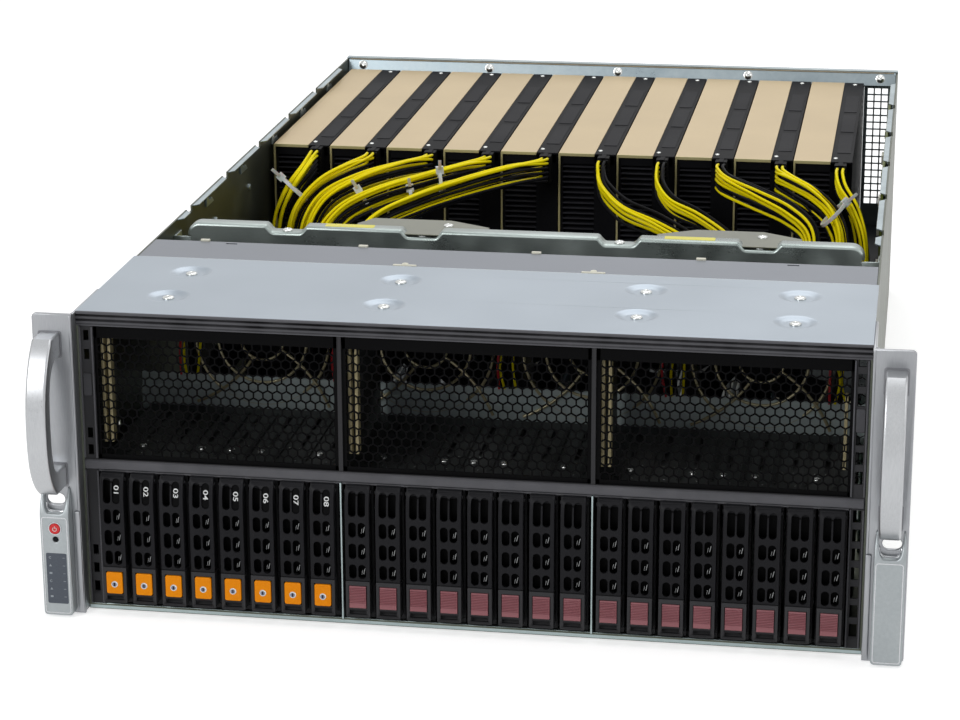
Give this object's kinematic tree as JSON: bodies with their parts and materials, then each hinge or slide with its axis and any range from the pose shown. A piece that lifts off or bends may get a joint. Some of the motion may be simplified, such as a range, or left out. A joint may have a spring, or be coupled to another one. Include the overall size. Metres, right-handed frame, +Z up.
{
  "type": "rack server",
  "caption": "Rack-mount server with its rear cover off: drive trays and grilles in front, cross brace, a row of double-width cards, hot-swap power supplies behind.",
  "frame": {"origin": "on the resting plane, under the middle of the whole part", "axes": "+X to the right seen from the front, +Y from the front towards the back panel, +Z up"},
  "size_m": [0.4826, 0.8048, 0.177],
  "materials": {
    "zinc_steel": "galvanised sheet, satin",
    "cover_steel": "pale blue-grey fine matt coat",
    "fan_cover_steel": "grey fine matt coat",
    "brace_steel": "zinc plated, satin with soft reflections",
    "bright_steel": "bright zinc",
    "screw_steel": "nickel plated",
    "black_steel": "black satin coat",
    "cage_steel": "black matt coat",
    "ear_alloy": "silver satin anodised",
    "handle_alloy": "silver satin anodised",
    "green_board": "green solder mask",
    "black_board": "black solder mask",
    "port_metal": "tinned steel",
    "sink_aluminium": "bare extruded fins",
    "card_black": "black moulded, fine texture",
    "card_plate": "champagne satin coat",
    "yellow_wire": "yellow wire insulation, semi-gloss",
    "black_wire": "black wire insulation, semi-gloss",
    "tray_plastic": "black moulded, fine texture",
    "orange_tab": "orange moulded",
    "maroon_tab": "dark red moulded",
    "drive_metal": "cast drive body",
    "fan_plastic": "black moulded",
    "wire_guard": "plated wire",
    "red_button": "red moulded",
    "dark_button": "dark moulded",
    "supply_metal": "bright zinc",
    "tie_nylon": "translucent white nylon",
    "status_panel": "slate film",
    "yellow_strip": "plain yellow strip",
    "latch_green": "green moulded"
  },
  "bodies": {
    "chassis": {"chassis_tub": "zinc_steel", "rear_panel": "zinc_steel", "top_cover": "cover_steel", "fan_cover": "fan_cover_steel", "fasteners": "screw_steel", "cross_brace": "brace_steel", "front_frame": "black_steel", "window_grilles": "black_steel", "drive_cage": "cage_steel", "drive_backplane": "green_board", "rack_ears": "ear_alloy", "ear_handles": "handle_alloy", "ear_covers": "ear_alloy", "fan_wall": "bright_steel", "motherboard": "green_board", "io_ports": "port_metal", "cpu_heatsinks": "sink_aluminium", "memory_modules": "black_board", "gpu_shelf": "zinc_steel", "gpu_board": "black_board", "gpu_shrouds": "card_black", "gpu_plates": "card_plate", "gpu_brackets": "zinc_steel", "gpu_power_cables": "yellow_wire"},
    "tray_01": {"tray_01": "tray_plastic"},
    "tray_02": {"tray_02": "tray_plastic"},
    "tray_03": {"tray_03": "tray_plastic"},
    "tray_04": {"tray_04": "tray_plastic"},
    "tray_05": {"tray_05": "tray_plastic"},
    "tray_06": {"tray_06": "tray_plastic"},
    "tray_07": {"tray_07": "tray_plastic"},
    "tray_08": {"tray_08": "tray_plastic"},
    "tray_09": {"tray_09": "tray_plastic"},
    "tray_10": {"tray_10": "tray_plastic"},
    "tray_11": {"tray_11": "tray_plastic"},
    "tray_12": {"tray_12": "tray_plastic"},
    "tray_13": {"tray_13": "tray_plastic"},
    "tray_14": {"tray_14": "tray_plastic"},
    "tray_15": {"tray_15": "tray_plastic"},
    "tray_16": {"tray_16": "tray_plastic"},
    "tray_17": {"tray_17": "tray_plastic"},
    "tray_18": {"tray_18": "tray_plastic"},
    "tray_19": {"tray_19": "tray_plastic"},
    "tray_20": {"tray_20": "tray_plastic"},
    "tray_21": {"tray_21": "tray_plastic"},
    "tray_22": {"tray_22": "tray_plastic"},
    "tray_23": {"tray_23": "tray_plastic"},
    "tray_24": {"tray_24": "tray_plastic"},
    "tray_lever_01": {"tray_lever_01": "tray_plastic"},
    "tray_release_01": {"tray_release_01": "orange_tab"},
    "power_button": {"power_button": "red_button"},
    "reset_button": {"reset_button": "dark_button"},
    "fan_rotor_1": {"fan_rotor_1": "fan_plastic"},
    "fan_rotor_2": {"fan_rotor_2": "fan_plastic"},
    "fan_rotor_3": {"fan_rotor_3": "fan_plastic"},
    "fan_rotor_4": {"fan_rotor_4": "fan_plastic"},
    "power_supply_1": {"power_supply_1": "supply_metal"},
    "power_supply_2": {"power_supply_2": "supply_metal"},
    "power_supply_3": {"power_supply_3": "supply_metal"},
    "power_supply_4": {"power_supply_4": "supply_metal"}
  },
  "joints": [
    {"name": "tray_01_slide", "type": "slide", "parent": "chassis", "child": "tray_01", "axis": [0, -1, 0], "range_m": [0, 0.118]},
    {"name": "tray_02_slide", "type": "slide", "parent": "chassis", "child": "tray_02", "axis": [0, -1, 0], "range_m": [0, 0.118]},
    {"name": "tray_03_slide", "type": "slide", "parent": "chassis", "child": "tray_03", "axis": [0, -1, 0], "range_m": [0, 0.118]},
    {"name": "tray_04_slide", "type": "slide", "parent": "chassis", "child": "tray_04", "axis": [0, -1, 0], "range_m": [0, 0.118]},
    {"name": "tray_05_slide", "type": "slide", "parent": "chassis", "child": "tray_05", "axis": [0, -1, 0], "range_m": [0, 0.118]},
    {"name": "tray_06_slide", "type": "slide", "parent": "chassis", "child": "tray_06", "axis": [0, -1, 0], "range_m": [0, 0.118]},
    {"name": "tray_07_slide", "type": "slide", "parent": "chassis", "child": "tray_07", "axis": [0, -1, 0], "range_m": [0, 0.118]},
    {"name": "tray_08_slide", "type": "slide", "parent": "chassis", "child": "tray_08", "axis": [0, -1, 0], "range_m": [0, 0.118]},
    {"name": "tray_09_slide", "type": "slide", "parent": "chassis", "child": "tray_09", "axis": [0, -1, 0], "range_m": [0, 0.118]},
    {"name": "tray_10_slide", "type": "slide", "parent": "chassis", "child": "tray_10", "axis": [0, -1, 0], "range_m": [0, 0.118]},
    {"name": "tray_11_slide", "type": "slide", "parent": "chassis", "child": "tray_11", "axis": [0, -1, 0], "range_m": [0, 0.118]},
    {"name": "tray_12_slide", "type": "slide", "parent": "chassis", "child": "tray_12", "axis": [0, -1, 0], "range_m": [0, 0.118]},
    {"name": "tray_13_slide", "type": "slide", "parent": "chassis", "child": "tray_13", "axis": [0, -1, 0], "range_m": [0, 0.118]},
    {"name": "tray_14_slide", "type": "slide", "parent": "chassis", "child": "tray_14", "axis": [0, -1, 0], "range_m": [0, 0.118]},
    {"name": "tray_15_slide", "type": "slide", "parent": "chassis", "child": "tray_15", "axis": [0, -1, 0], "range_m": [0, 0.118]},
    {"name": "tray_16_slide", "type": "slide", "parent": "chassis", "child": "tray_16", "axis": [0, -1, 0], "range_m": [0, 0.118]},
    {"name": "tray_17_slide", "type": "slide", "parent": "chassis", "child": "tray_17", "axis": [0, -1, 0], "range_m": [0, 0.118]},
    {"name": "tray_18_slide", "type": "slide", "parent": "chassis", "child": "tray_18", "axis": [0, -1, 0], "range_m": [0, 0.118]},
    {"name": "tray_19_slide", "type": "slide", "parent": "chassis", "child": "tray_19", "axis": [0, -1, 0], "range_m": [0, 0.118]},
    {"name": "tray_20_slide", "type": "slide", "parent": "chassis", "child": "tray_20", "axis": [0, -1, 0], "range_m": [0, 0.118]},
    {"name": "tray_21_slide", "type": "slide", "parent": "chassis", "child": "tray_21", "axis": [0, -1, 0], "range_m": [0, 0.118]},
    {"name": "tray_22_slide", "type": "slide", "parent": "chassis", "child": "tray_22", "axis": [0, -1, 0], "range_m": [0, 0.118]},
    {"name": "tray_23_slide", "type": "slide", "parent": "chassis", "child": "tray_23", "axis": [0, -1, 0], "range_m": [0, 0.118]},
    {"name": "tray_24_slide", "type": "slide", "parent": "chassis", "child": "tray_24", "axis": [0, -1, 0], "range_m": [0, 0.118]},
    {"name": "tray_lever_01_swing", "type": "hinge", "parent": "tray_01", "child": "tray_lever_01", "pos_m": [-0.2005, -0.3646, 0.0805], "axis": [-1, 0, 0], "range_deg": [0, 50]},
    {"name": "tray_release_01_press", "type": "slide", "parent": "tray_01", "child": "tray_release_01", "axis": [0, 1, 0], "range_m": [0, 0.0012], "stiffness_N_per_m": 400},
    {"name": "power_button_press", "type": "slide", "parent": "chassis", "child": "power_button", "axis": [0, 1, 0], "range_m": [0, 0.0012], "stiffness_N_per_m": 400},
    {"name": "reset_button_press", "type": "slide", "parent": "chassis", "child": "reset_button", "axis": [0, 1, 0], "range_m": [0, 0.0008], "stiffness_N_per_m": 400},
    {"name": "fan_rotor_1_spin", "type": "hinge", "parent": "chassis", "child": "fan_rotor_1", "pos_m": [-0.1424, -0.2226, 0.1283], "axis": [0, 1, 0], "continuous": true},
    {"name": "fan_rotor_2_spin", "type": "hinge", "parent": "chassis", "child": "fan_rotor_2", "pos_m": [-0.0438, -0.2226, 0.1283], "axis": [0, 1, 0], "continuous": true},
    {"name": "fan_rotor_3_spin", "type": "hinge", "parent": "chassis", "child": "fan_rotor_3", "pos_m": [0.0548, -0.2226, 0.1283], "axis": [0, 1, 0], "continuous": true},
    {"name": "fan_rotor_4_spin", "type": "hinge", "parent": "chassis", "child": "fan_rotor_4", "pos_m": [0.1534, -0.2226, 0.1283], "axis": [0, 1, 0], "continuous": true},
    {"name": "power_supply_1_slide", "type": "slide", "parent": "chassis", "child": "power_supply_1", "axis": [0, 1, 0], "range_m": [0, 0.18]},
    {"name": "power_supply_2_slide", "type": "slide", "parent": "chassis", "child": "power_supply_2", "axis": [0, 1, 0], "range_m": [0, 0.18]},
    {"name": "power_supply_3_slide", "type": "slide", "parent": "chassis", "child": "power_supply_3", "axis": [0, 1, 0], "range_m": [0, 0.18]},
    {"name": "power_supply_4_slide", "type": "slide", "parent": "chassis", "child": "power_supply_4", "axis": [0, 1, 0], "range_m": [0, 0.18]}
  ]
}
